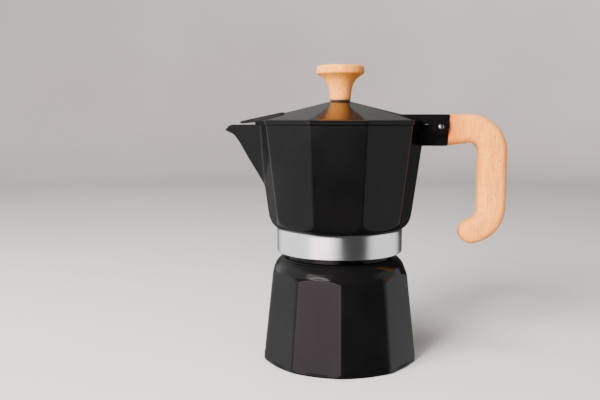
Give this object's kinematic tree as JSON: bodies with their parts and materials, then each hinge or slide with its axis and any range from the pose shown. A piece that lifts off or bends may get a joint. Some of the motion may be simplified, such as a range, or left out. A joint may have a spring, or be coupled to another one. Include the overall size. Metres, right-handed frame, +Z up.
{
  "type": "stovetop coffee maker",
  "caption": "Ten-sided stovetop coffee maker with screw-on spouted collector, hinged lid, funnel, safety valve, and wooden handle and knob.",
  "frame": {"origin": "centre of the boiler's flat underside, on the pot's axis", "axes": "+Z up along the pot's axis, +X towards the handle, -X towards the spout, +Y to the left of the handle seen from the spout"},
  "size_m": [0.1587, 0.0922, 0.1661],
  "materials": {
    "boiler_black": "gloss",
    "collector_black": "gloss",
    "lid_black": "gloss",
    "bare_metal": "satin",
    "steel": "satin",
    "spring_steel": "satin",
    "brass": "satin",
    "silicone": "matte",
    "fibre": "matte",
    "dark_washer": "matte",
    "beech": "satin"
  },
  "bodies": {
    "boiler": {"boiler": "boiler_black", "valve_body": "brass", "valve_washer": "fibre", "valve_spring": "spring_steel"},
    "valve": {"valve_plunger": "steel", "valve_seal": "silicone"},
    "funnel": {"funnel": "bare_metal", "funnel_screen": "bare_metal"},
    "seal": {"gasket": "silicone", "filter_plate": "bare_metal"},
    "collector": {"collector": "collector_black", "riser_column": "bare_metal", "column_cap": "steel", "hinge_pin": "steel", "handle": "beech", "handle_screw": "steel"},
    "lid": {"lid": "lid_black", "knob_washer": "dark_washer", "knob": "beech", "knob_screw": "steel"}
  },
  "joints": [
    {"name": "seal_lift", "type": "slide", "parent": "boiler", "child": "seal", "axis": [0, 0, 1], "range_m": [0, 0.0091]},
    {"name": "collector_turn", "type": "hinge", "parent": "seal", "child": "collector", "pos_m": [0, 0, 0.0617], "axis": [0, 0, 1], "range_deg": [0, 1080]},
    {"name": "funnel_lift", "type": "slide", "parent": "boiler", "child": "funnel", "axis": [0, 0, 1], "range_m": [0, 0.0046]},
    {"name": "lid_hinge", "type": "hinge", "parent": "collector", "child": "lid", "pos_m": [0.0555, 0, 0.1321], "axis": [0, 1, 0], "range_deg": [0, 100]},
    {"name": "valve_slide", "type": "slide", "parent": "boiler", "child": "valve", "axis": [-0.3613, 0.9267, 0.1034], "range_m": [0, 0.001], "stiffness_N_per_m": 1000, "springref_m": -0.002, "deforming": ["valve_spring"]}
  ],
  "couplings": [
    {"joint": "seal_lift", "follows": "collector_turn", "m_per_rad": 0.00047746},
    {"joint": "funnel_lift", "follows": "collector_turn", "m_per_rad": 0.00023873}
  ]
}
